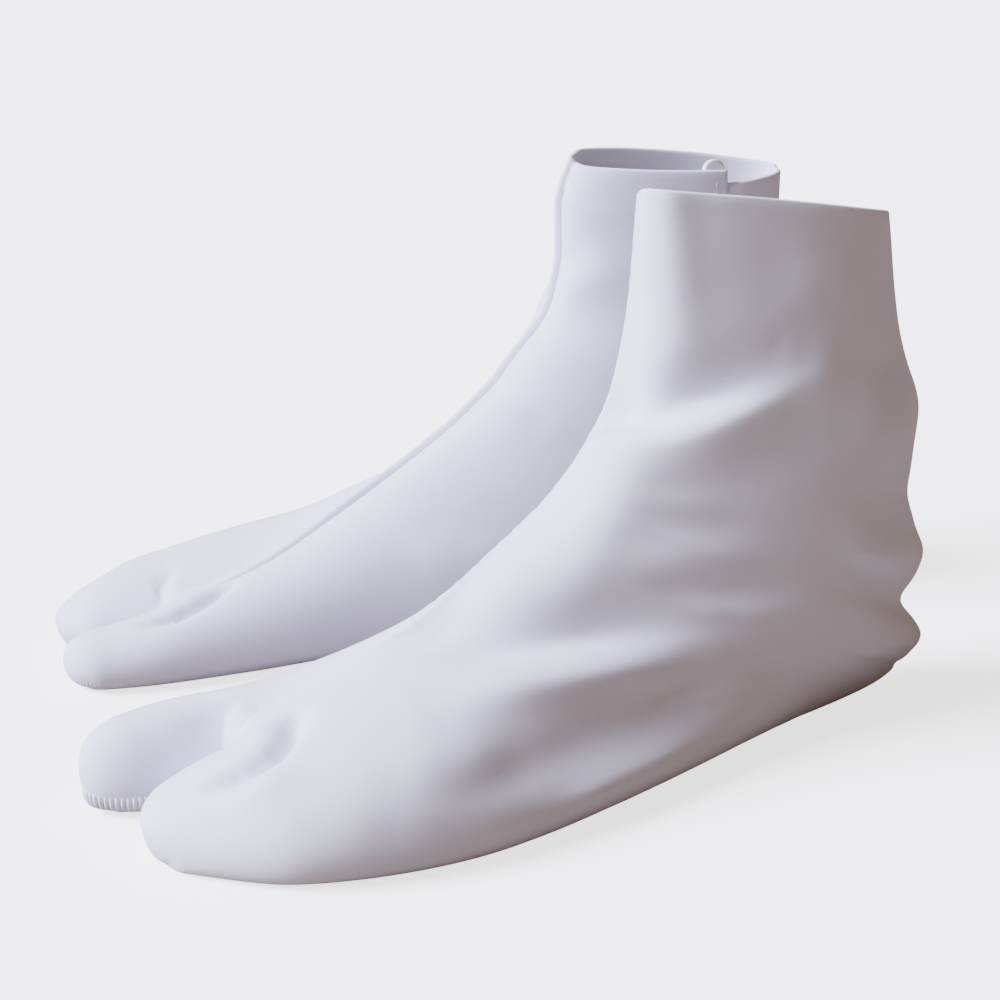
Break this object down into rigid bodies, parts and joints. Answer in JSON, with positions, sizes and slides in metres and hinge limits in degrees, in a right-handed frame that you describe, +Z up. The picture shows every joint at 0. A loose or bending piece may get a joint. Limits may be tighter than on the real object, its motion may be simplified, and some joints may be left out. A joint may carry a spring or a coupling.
{
  "type": "pair of tabi socks",
  "caption": "Ankle-high split-toe stretch tabi socks, a left and a right, standing filled out, with a front seam over the instep and flat clasps at the inner ankle.",
  "frame": {"origin": "on the floor, under the middle of the pair's bounding box", "axes": "+Z up, toes towards -Y, the wearer's left sock at +X and right sock at -X"},
  "size_m": [0.2128, 0.2552, 0.1502],
  "materials": {
    "cloth": "matt, smooth stretch tricot",
    "clasp": "satin resin"
  },
  "bodies": {
    "root": {"left_outer_panel": "cloth", "left_inner_panel": "cloth", "left_sole": "cloth", "left_clasp_1": "clasp", "left_clasp_2": "clasp", "left_clasp_3": "clasp", "left_clasp_4": "clasp", "right_outer_panel": "cloth", "right_inner_panel": "cloth", "right_sole": "cloth", "right_clasp_1": "clasp", "right_clasp_2": "clasp", "right_clasp_3": "clasp", "right_clasp_4": "clasp"}
  },
  "joints": []
}
